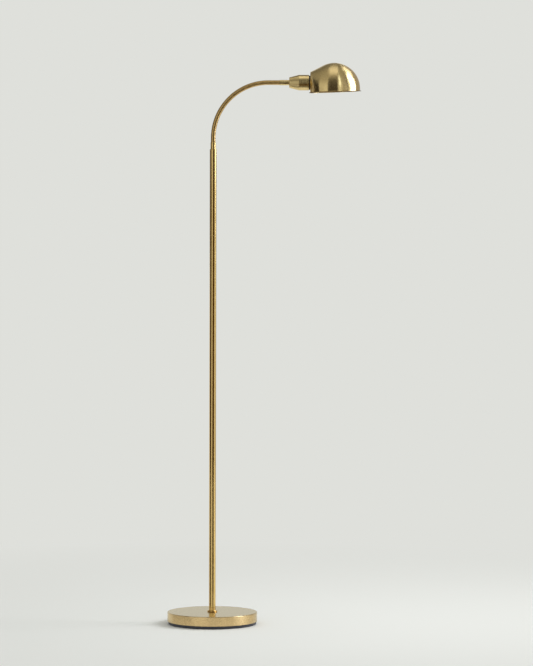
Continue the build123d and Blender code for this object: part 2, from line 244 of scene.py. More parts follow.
GOLD, GOLD_DEEP = (0.84, 0.645, 0.305), (0.78, 0.585, 0.25)
TUBE_GOLD, TUBE_DEEP = (0.84, 0.605, 0.25), (0.79, 0.54, 0.19)
SIDE_GOLD, SIDE_DEEP = (0.87, 0.655, 0.345), (0.75, 0.53, 0.25)
# Painted shade: dark colour for the rim of the shade's lip, standing in for the dark line it
# shows.
PAINTED_LIP_SHADE_COLOUR = (0.16, 0.10, 0.045)
ACROSS_LINES = 0.25


def satin_gold(name, axis, rough=0.25, streaks=0.95, coat=0.3,
               light=GOLD, deep=GOLD_DEEP, grain=0.3):
    """Lacquered brass brushed round an axis: reflections stretch across the fine lines."""
    m = Shader(name, metallic=1.0, Anisotropic=streaks, Anisotropic_Rotation=ACROSS_LINES,
               Coat_Weight=coat, Coat_Roughness=0.18)
    along = {"X": (1, 0.04, 0.04), "Z": (0.04, 0.04, 1)}[axis]
    lines = m.noise(5200, 3, m.stretched(*along))
    tone = m.between(m.math("ADD", lines, m.noise(16, 3)), 0.7, 1.3, 0, 1)
    # Painted shade: blends the dark rim colour in where a point attribute asks for it; only the
    # shade's lip carries that attribute.
    painted_lip_shade = m.add("ShaderNodeAttribute", attribute_name="painted_lip_shade").outputs["Fac"]
    m.colour(m.blend(painted_lip_shade, m.blend(tone, deep, light), PAINTED_LIP_SHADE_COLOUR))
    fine = m.between(lines, 0.3, 0.7, rough - 0.03, rough + 0.03)
    cloudy = m.between(m.noise(30, 4), 0.3, 0.7, -0.02, 0.02)
    m.rough(m.math("ADD", fine, cloudy))
    m.bump((m.noise(55, 2), 0.0003, 0.04), (lines, 0.000004, grain))
    m.brushed_round(axis)
    return m.material


def brushed_gold(name, smooth, coarse, streaks):
    """Brass brushed in rings round the pole's axis, with its least and most roughness."""
    m = Shader(name, metallic=1.0, Anisotropic=streaks, Anisotropic_Rotation=ACROSS_LINES,
               Specular_Tint=(0.82, 0.88, 0.92, 1))
    split = m.add("ShaderNodeSeparateXYZ")
    m.link(m.place, split.inputs[0])
    x, y, z = split.outputs
    radius = m.math("SQRT", m.math("ADD", m.math("MULTIPLY", x, x), m.math("MULTIPLY", y, y)))
    angle = m.math("ARCTAN2", y, x)
    rings = m.add("ShaderNodeCombineXYZ")
    for value, socket in zip((m.math("MULTIPLY", angle, 0.012), radius, z), rings.inputs):
        m.link(value, socket)
    fine = m.noise(3500, 3, rings.outputs[0])
    broad = m.noise(700, 2, rings.outputs[0])
    m.colour(m.blend(m.between(fine, 0.35, 0.65, 0, 1), SIDE_DEEP, SIDE_GOLD))
    m.rough(m.between(m.math("ADD", fine, broad), 0.8, 1.2, smooth, coarse))
    m.bump((fine, 0.00001, 0.35))
    m.brushed_round("Z")
    return m.material


def wound_gold(name):
    """Wire of the neck: bright crests, with painted shade darkening the grooves between the
    turns, which are also duller.
    """
    m = Shader(name, metallic=1.0)
    crest = m.add("ShaderNodeAttribute", attribute_name="crest").outputs["Fac"]
    # Painted shade: the grooves get a far darker colour than the wire's crests.
    painted_groove_shade, wire = (0.20, 0.11, 0.035), (0.70, 0.47, 0.185)
    m.colour(m.blend(m.between(crest, 0.1, 0.8, 0, 1), painted_groove_shade, wire))
    dull = m.between(crest, 0.1, 0.9, 0.36, 0.20)
    m.rough(m.math("ADD", dull, m.between(m.noise(120, 3), 0.4, 0.6, 0, 0.05)))
    m.bump((m.noise(2500, 2), 0.00001, 0.3))
    return m.material


def black_casting(name):
    """Black paint on cast iron, with the grain of the casting under it."""
    m = Shader(name, Specular_IOR_Level=0.5)
    grain = m.noise(420, 4)
    m.colour(m.blend(grain, (0.030, 0.032, 0.045), (0.050, 0.052, 0.068)))
    m.rough(m.between(grain, 0.3, 0.7, 0.42, 0.58))
    m.bump((grain, 0.00025, 0.4), (m.noise(60, 2), 0.0004, 0.25))
    return m.material


def black_plastic(name):
    """Moulded black plastic with a fine spark-eroded skin."""
    m = Shader(name)
    skin = m.noise(1800, 3)
    m.colour(m.blend(skin, (0.010, 0.010, 0.011), (0.017, 0.017, 0.018)))
    m.rough(m.between(skin, 0.3, 0.7, 0.34, 0.5))
    m.bump((skin, 0.00004, 0.35))
    return m.material


def felt(name):
    """Pressed black felt with loose fibres."""
    m = Shader(name, Sheen_Weight=0.4, Sheen_Roughness=0.6)
    fibres = m.noise(900, 5, m.stretched(1, 2.4, 1), 0.7)
    m.colour(m.blend(fibres, (0.010, 0.010, 0.012), (0.045, 0.045, 0.05)))
    m.rough(m.between(fibres, 0, 1, 0.85, 1.0))
    m.bump((fibres, 0.0004, 0.8))
    return m.material


def opal(name):
    """Opal globe with a soft gloss and a slightly uneven white."""
    m = Shader(name, Subsurface_Weight=0.15, Subsurface_Scale=0.004)
    m.colour(m.blend(m.noise(40, 3), (0.84, 0.84, 0.80), (0.88, 0.87, 0.84)))
    m.rough(m.between(m.noise(90, 3), 0.3, 0.7, 0.20, 0.28))
    m.bump((m.noise(30, 1), 0.0003, 0.1))
    return m.material


def plated(name, colour, dull):
    """Plain plated or turned metal, with faint tool marks."""
    m = Shader(name, metallic=1.0)
    marks = m.noise(2600, 2, m.stretched(0.1, 0.1, 1))
    m.colour(m.blend(m.noise(90, 3), tuple(0.86 * c for c in colour), colour))
    m.rough(m.between(marks, 0.3, 0.7, dull - 0.06, dull + 0.06))
    m.bump((marks, 0.00001, 0.3))
    return m.material


def moulded_white(name):
    """Off-white moulded disc with a dry, slightly cloudy skin."""
    m = Shader(name)
    cloud = m.noise(160, 4)
    m.colour(m.blend(cloud, (0.66, 0.64, 0.58), (0.74, 0.72, 0.67)))
    m.rough(m.between(cloud, 0.3, 0.7, 0.45, 0.6))
    m.bump((cloud, 0.00005, 0.3))
    return m.material


GOLD_UPRIGHT = satin_gold("gold_upright", "Z")
GOLD_LYING = satin_gold("gold_lying", "X")
GOLD_TUBE = satin_gold("gold_tube", "Z", rough=0.17, streaks=0.7, coat=0.1,
                       light=TUBE_GOLD, deep=TUBE_DEEP, grain=0.1)
GOLD_SIDE = brushed_gold("gold_side", smooth=0.24, coarse=0.36, streaks=0.9)
GOLD_TOP = brushed_gold("gold_top", smooth=0.18, coarse=0.24, streaks=0.0)
GOLD_WOUND = wound_gold("gold_wound")
BLACK_CASTING = black_casting("black_casting")
BLACK_PLASTIC = black_plastic("black_plastic")
FELT = felt("felt")
OPAL = opal("opal")
ZINC = plated("zinc", (0.56, 0.57, 0.58), 0.32)
BRASS = plated("plain_brass", (0.76, 0.58, 0.26), 0.30)
CAP_METAL = plated("cap_metal", (0.66, 0.65, 0.62), 0.26)
MOULDED_WHITE = moulded_white("moulded_white")


# ---------------------------------------------------------------- mesh helpers

HEAD = Matrix.Translation((NECK_END, 0, AXIS_Z)) @ Matrix.Rotation(math.pi / 2, 4, "Y")
REAR_INLET = (Matrix.Translation((0, BASE_RADIUS * MM, GLAND_HEIGHT * MM))
              @ Matrix.Rotation(-math.pi / 2, 4, "X"))
TOO_CLOSE = 1e-7


def new_piece(name, vertices, faces, material, body=None, nodes=()):
    """A smooth-shaded mesh piece that rides on a body and stands for CAD nodes."""
    mesh = bpy.data.meshes.new(name)
    mesh.from_pydata([tuple(v) for v in vertices], [], faces)
    work = bmesh.new()
    work.from_mesh(mesh)
    bmesh.ops.remove_doubles(work, verts=work.verts, dist=TOO_CLOSE)
    bmesh.ops.dissolve_degenerate(work, dist=TOO_CLOSE, edges=work.edges)
    bmesh.ops.recalc_face_normals(work, faces=work.faces)
    work.to_mesh(mesh)
    work.free()
    mesh.polygons.foreach_set("use_smooth", [True] * len(mesh.polygons))
    mesh.materials.append(material)
    piece = bpy.data.objects.new(name, mesh)
    scene.collection.objects.link(piece)
    if body:
        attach(piece, body)
    if nodes:
        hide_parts(*nodes)
    return piece


def rounded(points, steps=4):
    """Closed outline with its corners rounded; each point is (radius, height, rounding)."""
    nearly_straight = 1.5
    result = []
    for k, (r, h, rounding) in enumerate(points):
        here = Vector((r, h))
        before = Vector(points[k - 1][:2]) - here
        after = Vector(points[(k + 1) % len(points)][:2]) - here
        half = before.angle(after) / 2
        if rounding <= 0 or half > nearly_straight:
            result.append((r, h))
            continue
        reach = min(rounding / math.tan(half), before.length * 0.49, after.length * 0.49)
        radius = reach * math.tan(half)
        inward = (before.normalized() + after.normalized()).normalized()
        centre = here + inward * radius / math.sin(half)
        start = here + before.normalized() * reach - centre
        end = here + after.normalized() * reach - centre
        sweep = math.atan2(start.x * end.y - start.y * end.x, start.dot(end))
        for step in range(steps + 1):
            c, s = math.cos(sweep * step / steps), math.sin(sweep * step / steps)
            result.append((centre.x + start.x * c - start.y * s,
                           centre.y + start.x * s + start.y * c))
    return result


def turned(name, outline, material, body, nodes=(),
           sides=96, place=None, ribs=None, cut=None):
    """Solid of revolution of an outline in millimetres, about the Z axis of place.

    ribs is (count, depth, radius): grip grooves in what lies outside that radius.
    cut is a closed piece that is cut out of the solid.
    """
    profile = rounded([tuple(v * MM for v in point) for point in outline])
    place = place or Matrix()
    vertices, faces = [], []
    for k in range(sides):
        angle = 2 * math.pi * k / sides
        for r, h in profile:
            if ribs and r > ribs[2] * MM:
                r -= ribs[1] * MM * max(0, math.cos(ribs[0] * angle)) ** 3
            vertices.append(place @ Vector((r * math.cos(angle), r * math.sin(angle), h)))
    count = len(profile)
    for k in range(sides):
        near, far = k * count, (k + 1) % sides * count
        for j in range(count):
            following = (j + 1) % count
            faces.append((near + j, far + j, far + following, near + following))
    piece = new_piece(name, vertices, faces, material, body, nodes)
    if cut:
        carve(piece, cut)
    piece.modifiers.new("normals", "WEIGHTED_NORMAL").keep_sharp = True
    return piece


def carve(piece, cutter):
    """Cuts a plain closed mesh out of a piece, and removes the cutter."""
    modifier = piece.modifiers.new("cut", "BOOLEAN")
    modifier.operation, modifier.object, modifier.solver = "DIFFERENCE", cutter, "EXACT"
    bpy.context.view_layer.update()
    evaluated = piece.evaluated_get(bpy.context.evaluated_depsgraph_get())
    shape = bpy.data.meshes.new_from_object(evaluated)
    piece.modifiers.clear()
    piece.data = shape
    bpy.data.objects.remove(cutter)


def drill(radius, length, place, sides=48):
    """Round cutter about the Z axis of place, from -length to +length."""
    turns = [2 * math.pi * k / sides for k in range(sides)]
    ring = [(radius * math.cos(turn), radius * math.sin(turn)) for turn in turns]
    vertices = [place @ Vector((x, y, z)) for z in (-length, length) for x, y in ring]
    faces = [tuple(range(sides)), tuple(range(sides, 2 * sides))]
    for k in range(sides):
        after = (k + 1) % sides
        faces.append((k, after, sides + after, sides + k))
    return new_piece("drill", vertices, faces, ZINC)


def slab(low, high):
    """Box cutter between two corners."""
    corners = [Vector((x, y, z))
               for x in (low[0], high[0]) for y in (low[1], high[1]) for z in (low[2], high[2])]
    faces = [(0, 1, 3, 2), (4, 5, 7, 6), (0, 1, 5, 4), (2, 3, 7, 6), (0, 2, 6, 4), (1, 3, 7, 5)]
    return new_piece("slab", corners, faces, ZINC)


# ---------------------------------------------------------------- base

COVER_INSIDE = BASE_RADIUS - COVER_SHEET
FACES_UP = 0.98
cover = turned("cover_gold", [
    (ROD_HOLE, WEIGHT_TOP, 0), (ROD_HOLE, COVER_TOP, 0.1), (BASE_RADIUS, COVER_TOP, 1.7),
    (BASE_RADIUS, COVER_BOTTOM, 0.35), (COVER_INSIDE, COVER_BOTTOM, 0.35),
    (COVER_INSIDE, WEIGHT_TOP, 1)],
    GOLD_SIDE, "stand", ["base_cover"], sides=256,
    cut=drill(GLAND_HOLE * MM, GLAND_DEPTH * MM, REAR_INLET))
cover.data.materials.append(GOLD_TOP)
for polygon in cover.data.polygons:
    polygon.material_index = 1 if polygon.normal.z > FACES_UP else 0
turned("weight_casting", [
    (ROD_HOLE, NUT_POCKET_TOP, 0.3), (NUT_POCKET_RADIUS, NUT_POCKET_TOP, 0.5),
    (NUT_POCKET_RADIUS, FELT_TOP, 0.5), (RECESS_INNER, FELT_TOP, 1),
    (RECESS_INNER, RECESS_TOP, 2), (RECESS_OUTER, RECESS_TOP, 2), (RECESS_OUTER, FELT_TOP, 1),
    (WEIGHT_RADIUS, FELT_TOP, 1), (WEIGHT_RADIUS, WEIGHT_TOP, 0.5), (ROD_HOLE, WEIGHT_TOP, 0.3)],
    BLACK_CASTING, "stand", ["base_weight"], sides=256,
    cut=slab((-CHANNEL_HALF * MM, -CHANNEL_HALF * MM, 0),
             (CHANNEL_HALF * MM, (BASE_RADIUS + 2) * MM, CHANNEL_TOP * MM)))
turned("felt_pad", [
    (FELT_MIDDLE, 0, 0), (FELT_RADIUS, 0, 0.35), (FELT_RADIUS, FELT_TOP, 0.2),
    (FELT_MIDDLE, FELT_TOP, 0)],
    FELT, "stand", ["base_felt"], sides=192)
turned("inlet_gland", [
    (GLAND_BORE, -GLAND_DEPTH, 0.4), (GLAND_BARREL, -GLAND_DEPTH, 0.3),
    (GLAND_BARREL, GLAND_SEAT, 0), (GLAND_FLANGE, GLAND_SEAT, 0.1),
    (GLAND_FLANGE, GLAND_FACE, 0.7), (GLAND_BORE, GLAND_FACE, 0.7)],
    BLACK_PLASTIC, "stand", ["cord_gland"], sides=64, place=REAR_INLET)

# ---------------------------------------------------------------- pole

COLLAR_SPIGOT_TOP = POLE_FOOT + SPIGOT_LENGTH
BUSH_BOTTOM = TUBES_TOP - SPIGOT_LENGTH
turned("collar_ring", [
    (ROD_HOLE, COVER_TOP, 0), (COLLAR_RADIUS, COVER_TOP, 1.9), (COLLAR_RADIUS, POLE_FOOT, 1.9),
    (SPIGOT_RADIUS, POLE_FOOT, 0), (SPIGOT_RADIUS, COLLAR_SPIGOT_TOP, 0.3),
    (ROD_HOLE, COLLAR_SPIGOT_TOP, 0.3)],
    GOLD_TUBE, "stand", ["pole_collar"], sides=96)
foot = POLE_FOOT
for number, length in enumerate(TUBE_LENGTHS, start=1):
    top = foot + length
    turned(f"tube_{number}", [
        (POLE_BORE, foot, 0.2), (POLE_RADIUS, foot, 0.3), (POLE_RADIUS, top, 0.3),
        (POLE_BORE, top, 0.2)],
        GOLD_TUBE, "stand", [f"pole_tube_{number}"], sides=96)
    foot = top
turned("top_bush", [
    (ROD_BORE, BUSH_BOTTOM, 0.3), (SPIGOT_RADIUS, BUSH_BOTTOM, 0.3),
    (SPIGOT_RADIUS, TUBES_TOP, 0), (POLE_RADIUS, TUBES_TOP, 0.3), (POLE_RADIUS, BUSH_TOP, 0.7),
    (NECK_RADIUS, BUSH_TOP, 0), (NECK_RADIUS, STUD_TOP, 0.3), (ROD_BORE, STUD_TOP, 0.3)],
    GOLD_TUBE, "stand", ["pole_top_bush"], sides=96)

# ---------------------------------------------------------------- neck

TURN_PITCH, TURN_DEPTH = 2.0 * MM, 0.28 * MM
HIDDEN_END = 3 * MM
BEND_LENGTH = NECK_BEND * math.pi / 2
NECK_LENGTH = NECK_LOWER + BEND_LENGTH + NECK_UPPER
LINKS = sorted(name for name in frame["bodies"] if name.startswith("neck_link"))
CHAIN = ["stand", *LINKS, "head"]
HINGE_PITCH = (NECK_LENGTH - LOWER_FERRULE * MM - UPPER_FERRULE * MM) / (len(CHAIN) - 1)


def neck_line(distance):
    """Point and lean of the neck's centre line, at a distance from the top of the pole."""
    if distance <= NECK_LOWER:
        return Vector((0, 0, NECK_START + distance)), 0.0
    turn = min(distance - NECK_LOWER, BEND_LENGTH) / NECK_BEND
    point = Vector((NECK_BEND * (1 - math.cos(turn)), 0,
                    NECK_START + NECK_LOWER + NECK_BEND * math.sin(turn)))
    point.x += max(0, distance - NECK_LOWER - BEND_LENGTH)
    return point, turn


def wound_tube(name, start, end, sides=40, rows_per_turn=10):
    """Stretch of the neck: a tube whose surface is one wire wound side by side."""
    steps = max(2, round((end - start) / TURN_PITCH * rows_per_turn))
    vertices, faces, crests = [], [], []
    for k in range(steps + 1):
        distance = start + (end - start) * k / steps
        point, lean = neck_line(distance)
        out = Vector((math.cos(lean), 0, -math.sin(lean)))
        for j in range(sides):
            angle = 2 * math.pi * j / sides
            phase = (distance / TURN_PITCH - j / sides) % 1
            crest = math.sqrt(max(0, 1 - (2 * phase - 1) ** 2))
            r = NECK_RADIUS * MM - TURN_DEPTH * (1 - crest)
            spoke = math.cos(angle) * out + math.sin(angle) * Vector((0, 1, 0))
            vertices.append(point + r * spoke)
            crests.append(crest)
    for k in range(steps):
        for j in range(sides):
            a, b = k * sides + j, k * sides + (j + 1) % sides
            faces.append((a, b, b + sides, a + sides))
    piece = new_piece(name, vertices, faces, GOLD_WOUND)
    layer = piece.data.attributes.new("crest", "FLOAT", "POINT")
    layer.data.foreach_set("value", crests)
    return piece


for k, (below, above) in enumerate(zip(CHAIN[:-1], CHAIN[1:])):
    low = LOWER_FERRULE * MM + k * HINGE_PITCH
    high = LOWER_FERRULE * MM + (k + 1) * HINGE_PITCH
    hinge = LOWER_FERRULE * MM + (k + 0.5) * HINGE_PITCH
    if below == "stand":
        low -= HIDDEN_END
    if above == "head":
        high += HIDDEN_END
    piece = wound_tube(f"neck_winding_{k + 1:02d}", low, high)
    neck_line(hinge - 0.42 * HINGE_PITCH)[0]
    neck_line(hinge + 0.42 * HINGE_PITCH)[0]
    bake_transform(piece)
    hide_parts("neck_root" if below == "stand" else below,
                *(["neck_tip"] if above == "head" else []))

FERRULE_TOP = BUSH_TOP + LOWER_FERRULE
turned("lower_ferrule", [
    (FERRULE_BORE, BUSH_TOP, 0.1), (FERRULE_RADIUS, BUSH_TOP, 0.2),
    (FERRULE_RADIUS, FERRULE_TOP, 0.35), (FERRULE_BORE, FERRULE_TOP, 0.35)],
    GOLD_TUBE, "stand", ["neck_lower_ferrule"], sides=72)
turned("upper_ferrule", [
    (FERRULE_BORE, -UPPER_FERRULE, 0.35), (FERRULE_RADIUS, -UPPER_FERRULE, 0.35),
    (FERRULE_RADIUS, 0, 0.2), (FERRULE_BORE, 0, 0.1)],
    GOLD_LYING, "head", ["neck_upper_ferrule"], sides=72, place=HEAD)

# ---------------------------------------------------------------- head

CUP_INSIDE = CUP_RADIUS - CUP_SHEET
turned("cup", [
    (ROD_HOLE, 0, 0), (CUP_REAR_RADIUS, 0, 0.9), (CUP_RADIUS, CUP_CONE, 6),
    (CUP_RADIUS, CUP_LENGTH, 0.4), (CUP_INSIDE, CUP_LENGTH, 0.4), (CUP_INSIDE, CUP_CONE, 5),
    (CUP_REAR_RADIUS - CUP_SHEET, CUP_SHEET, 0.5), (ROD_HOLE, CUP_SHEET, 0)],
    GOLD_LYING, "head", ["socket_cup"], sides=128, place=HEAD)
turned("holder_front", [
    (HOLDER_BORE, HOLDER_START, 0), (HOLDER_RADIUS, HOLDER_START, 0.3),
    (HOLDER_RADIUS, SHOULDER, 0.4), (SKIRT_RADIUS, SHOULDER, 0),
    (SKIRT_RADIUS, HOLDER_FRONT, 0.4), (HOLDER_BORE, HOLDER_FRONT, 0.4)],
    BLACK_PLASTIC, "head", ["lampholder_body"], sides=96, place=HEAD)
turned("ring_gripped", [
    (RING_BORE, RING_START, 0.2), (RING_RADIUS, RING_START, 0.5),
    (RING_RADIUS, RING_FRONT, 0.9), (RING_FACE_RADIUS, RING_FRONT, 0.3),
    (RING_FACE_RADIUS, RING_FACE, 0.2), (RING_BORE, RING_FACE, 0.3)],
    BLACK_PLASTIC, "head", ["shade_ring"], sides=240, place=HEAD,
    ribs=(40, 0.7, 21))
globe = [(BULB_NECK, BULB_NECK_START, 0.2), (BULB_NECK, BULB_NECK_END, 0)]
globe += [(r, h, 0) for r, h in BULB_FLARE]
for step in range(BULB_STEPS + 1):
    angle = math.radians(BULB_OPENING + (180 - BULB_OPENING) * step / BULB_STEPS)
    globe.append((max(BULB_MIDDLE, BULB_RADIUS * math.sin(angle)),
                  BULB_CENTRE - BULB_RADIUS * math.cos(angle), 0))
globe.append((BULB_MIDDLE, BULB_NECK_START, 0))
turned("globe_opal", globe, OPAL, "head", ["bulb_globe"], sides=96, place=HEAD)


# ---------------------------------------------------------------- shade

# Facets: round the front, along the tail, up a quarter of an arch, up the skirt,
# round the rear edge, along the rear's foot, and rings in to the lampholder's hole.
FAN, ROWS, QUARTER, WALLS = 56, 44, 32, 6
EDGE_STEPS, SILL_STEPS, REAR_RINGS = 5, 20, 4
# Steps of the lip's fillet, of its round edge, and of the rim's rounding inside.
FILLET_STEPS, LIP_STEPS, RIM_STEPS = 5, 8, 4
# The lip's painted shade: up to what height, from what reach on, and over what width it darkens.
LIP_SHADE_HEIGHT, LIP_SHADE_START, LIP_SHADE_SPAN = 1.2 * LIP_THICKNESS, 0.25 * LIP_WIDTH, 0.3 * LIP_WIDTH
RIDGE_ANGLE = math.atan2(RIDGE_REAR, SHADE_REAR_X - SHADE_X) - math.acos(
    SHADE_RADIUS / math.hypot(SHADE_X - SHADE_REAR_X, RIDGE_REAR))


def rim_z(x):
    return SHADE_Z - RIM_DROP + (x - SHADE_X) * math.tan(RIM_SLOPE)


def arch(x, radius, foot):
    """Points of the shade's section at x, from its right foot over the top to its left foot."""
    half = math.sqrt(radius ** 2 - (x - SHADE_X) ** 2)
    spring = SHADE_Z
    if x < SHADE_X + radius * math.cos(RIDGE_ANGLE):
        ridge = (radius - (x - SHADE_X) * math.cos(RIDGE_ANGLE)) / math.sin(RIDGE_ANGLE)
        spring = SHADE_Z + ridge - half
    low = rim_z(x) + foot
    right = [(half, low + (spring - low) * k / WALLS) for k in range(WALLS)]
    turns = [math.pi * k / (2 * QUARTER) for k in range(2 * QUARTER + 1)]
    top = [(half * math.cos(turn), spring + half * math.sin(turn)) for turn in turns]
    left = [(-y, z) for y, z in reversed(right)]
    return [Vector((x, y, z)) for y, z in right + top + left]


def hood_skin(inset, edge, foot):
    """One skin of the shade: its front fan, its tail with a rounded rear edge, its rear wall."""
    radius, rear = SHADE_RADIUS - inset, SHADE_REAR_X + inset
    front = []
    for k in range(FAN + 1):
        turn = math.pi / 2 - math.pi * k / FAN
        x, y = math.cos(turn), math.sin(turn)
        low = rim_z(SHADE_X + radius * x) + foot
        column = [(radius, low + (SHADE_Z - low) * j / WALLS) for j in range(WALLS)]
        for j in range(QUARTER + 1):
            rise = math.pi * j / (2 * QUARTER)
            column.append((radius * math.cos(rise), SHADE_Z + radius * math.sin(rise)))
        front.append([Vector((SHADE_X + r * x, r * y, z)) for r, z in column])
    last = math.acos((rear - SHADE_X) / radius)
    tail = []
    for k in range(ROWS):
        angle = math.pi / 2 + (last - math.pi / 2) * k / ROWS
        tail.append(arch(SHADE_X + radius * math.cos(angle), radius, foot))
    corner = arch(rear, radius, foot)
    before = arch(rear + edge, radius, foot)
    for k in range(EDGE_STEPS + 1):
        t = k / EDGE_STEPS
        row = []
        for j, point in enumerate(corner):
            start = point + (before[j] - point).normalized() * edge
            if WALLS <= j <= WALLS + 2 * QUARTER:
                turn = math.pi * (j - WALLS) / (2 * QUARTER)
                inward = -Vector((0, math.cos(turn), math.sin(turn)))
            else:
                inward = Vector((0, -math.copysign(1, point.y), 0))
            end = point + inward * edge
            row.append((1 - t) ** 2 * start + 2 * t * (1 - t) * point + t ** 2 * end)
        tail.append(row)
    width = tail[-1][0].y
    sill = [Vector((rear, -width + 2 * width * k / SILL_STEPS, rim_z(rear) + foot))
            for k in range(1, SILL_STEPS)]
    wall = tail[-1] + sill
    middle = Vector((rear, 0, AXIS_Z))
    rings = [wall]
    for k in range(1, REAR_RINGS + 1):
        ring = []
        for point in wall:
            goal = middle + (point - middle).normalized() * SHADE_HOLE
            ring.append(point.lerp(goal, k / REAR_RINGS))
        rings.append(ring)
    return front, tail, rings


def feet(skin):
    """The lowest points of a skin, once round it."""
    front, tail, rings = skin
    loop = [column[0] for column in front]
    loop += [row[-1] for row in tail[1:]]
    loop += rings[0][len(tail[-1]):]
    loop += [row[0] for row in reversed(tail[1:])]
    return loop


def lip_section():
    """Outer half of the lip as (reach, height) points: a fillet at the wall, a round edge."""
    half = LIP_THICKNESS / 2
    section = []
    for step in range(FILLET_STEPS + 1):
        a = math.pi + math.pi / 2 * step / FILLET_STEPS
        section.append((LIP_FILLET + LIP_FILLET * math.cos(a),
                        LIP_THICKNESS + LIP_FILLET + LIP_FILLET * math.sin(a)))
    for step in range(LIP_STEPS + 1):
        a = math.pi / 2 - math.pi * step / LIP_STEPS
        section.append((LIP_WIDTH - half + half * math.cos(a), half + half * math.sin(a)))
    return section


def painted_lip_shade_at(point):
    """How much painted shade darkens the lip at a point: 1 round its outer edge, 0 on the
    shade's wall.
    """
    if point.z > rim_z(point.x) + LIP_SHADE_HEIGHT:
        return 0.0
    if point.x > SHADE_X:
        reach = math.hypot(point.x - SHADE_X, point.y) - SHADE_RADIUS
    else:
        wall = math.sqrt(max(0, SHADE_RADIUS ** 2 - (point.x - SHADE_X) ** 2))
        reach = max(abs(point.y) - wall, SHADE_REAR_X - point.x)
    return min(1.0, max(0.0, (reach - LIP_SHADE_START) / LIP_SHADE_SPAN))


def hood():
    """The shade as one closed sheet: two skins, a hole for the lampholder, a lip at the rim."""
    vertices, faces = [], []

    def grid(rows, closed=False):
        base = len(vertices)
        width = len(rows[0])
        for row in rows:
            vertices.extend(row)
        for i in range(len(rows) - 1):
            for j in range(width if closed else width - 1):
                a, b = base + i * width + j, base + i * width + (j + 1) % width
                faces.append((a, b, b + width, a + width))

    outer = hood_skin(0.0, SHADE_EDGE_OUTSIDE, LIP_THICKNESS + LIP_FILLET)
    inner = hood_skin(SHADE_SHEET, SHADE_EDGE_INSIDE, RIM_EDGE)
    for front, tail, rings in (outer, inner):
        grid(front)
        grid(tail)
        grid(rings, closed=True)
    grid([outer[2][-1], inner[2][-1]], closed=True)

    section = lip_section()
    outside, inside = feet(outer), feet(inner)
    count = len(outside)
    rows = []
    for k, (here, within) in enumerate(zip(outside, inside)):
        along = outside[(k + 1) % count] - outside[k - 1]
        out = Vector((along.y, -along.x, 0)).normalized()
        if out.dot(Vector((here.x - SHADE_X, here.y, 0))) < 0:
            out.negate()
        row = []
        for reach, up in section:
            point = here + out * reach
            row.append(Vector((point.x, point.y, rim_z(point.x) + up)))
        for step in range(RIM_STEPS + 1):
            a = -math.pi / 2 - math.pi / 2 * step / RIM_STEPS
            share = (SHADE_SHEET - RIM_EDGE - RIM_EDGE * math.cos(a)) / SHADE_SHEET
            point = here.lerp(within, share)
            height = rim_z(point.x) + RIM_EDGE + RIM_EDGE * math.sin(a)
            row.append(Vector((point.x, point.y, height)))
        rows.append(row)
    grid([*rows, rows[0]])
    piece = new_piece("hood_gold", vertices, faces, GOLD_UPRIGHT,
                      "head", ["shade"])
    # Point attribute that tells where painted shade darkens the lip.
    layer = piece.data.attributes.new("painted_lip_shade", "FLOAT", "POINT")
    layer.data.foreach_set("value", [painted_lip_shade_at(v.co) for v in piece.data.vertices])
    piece.modifiers.new("normals", "WEIGHTED_NORMAL").keep_sharp = True


hood()

# ---------------------------------------------------------------- CAD pieces that stay

for name, material in {
        "base_nipple": ZINC, "base_washer": ZINC, "base_locknut": ZINC,
        "pole_couplings": BRASS, "head_stud": BRASS, "lampholder_cap": BLACK_PLASTIC,
        "lampholder_insert": MOULDED_WHITE, "lampholder_shell": BRASS,
        "centre_contact": BRASS, "bulb_cap": CAP_METAL}.items():
    node = frame["nodes"][name]
    node.data.materials.clear()
    node.data.materials.append(material)

# ---------------------------------------------------------------- studio, in metres

PALE = (0.738, 0.745, 0.710)
FLOOR_COLOUR = (0.795, 0.803, 0.79, 1)
FLOOR_Z, ON_FLOOR = -0.0002, 0.001
STUDIO_X = 0.16
FAR = 6.2
EVEN, WARM = 0.04, 0.9


